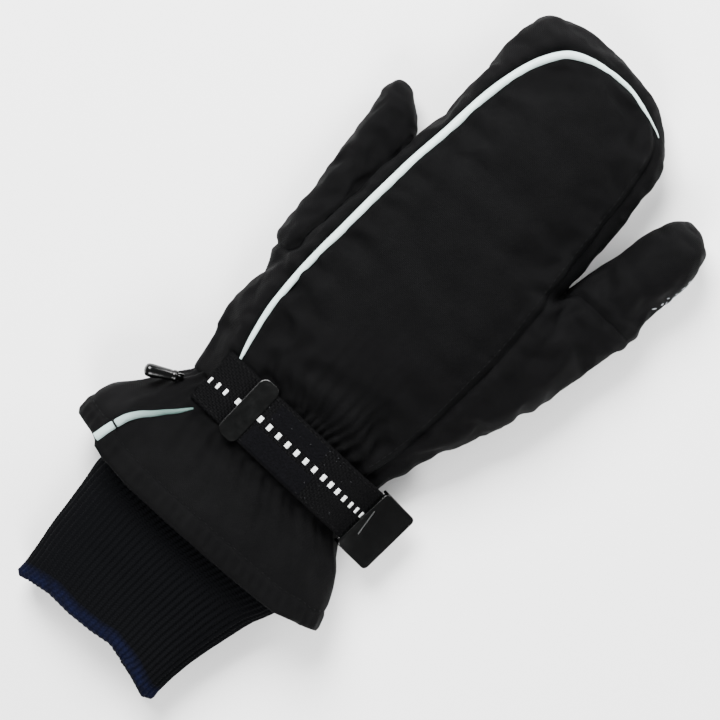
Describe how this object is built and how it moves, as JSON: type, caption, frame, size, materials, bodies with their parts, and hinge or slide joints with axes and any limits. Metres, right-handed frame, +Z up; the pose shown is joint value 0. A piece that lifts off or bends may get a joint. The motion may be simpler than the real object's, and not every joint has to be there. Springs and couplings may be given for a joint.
{
  "type": "lobster claw mitt",
  "caption": "Padded right-hand riding mitt with a shared three-finger compartment, its own little finger and thumb, a strapped wrist, a flared gauntlet and a knitted inner cuff.",
  "frame": {"origin": "middle of the flat face that the palm rests on, on the hand's middle line", "axes": "+Y from the cuff to the fingertips, +X across the hand towards the little finger, +Z up from the palm to the back of the hand"},
  "size_m": [0.155, 0.3261, 0.042],
  "materials": {
    "softshell": "matt woven softshell, black",
    "palm_grip": "fine-grained synthetic leather, black",
    "cuff_knit": "ribbed knit, black, navy at its hem",
    "piping": "retroreflective piping, pale silver",
    "webbing": "woven strap, black with pale woven ticks",
    "moulded_black": "moulded, glossy black"
  },
  "bodies": {
    "root": {"back_panel": "softshell", "hand_shell": "softshell", "palm_panel": "palm_grip", "little_finger": "softshell", "thumb": "softshell", "gauntlet": "softshell", "storm_cuff": "cuff_knit", "hand_piping": "piping", "cuff_piping": "piping", "wrist_strap": "webbing", "strap_buckle": "moulded_black", "side_toggle": "moulded_black"}
  },
  "joints": []
}
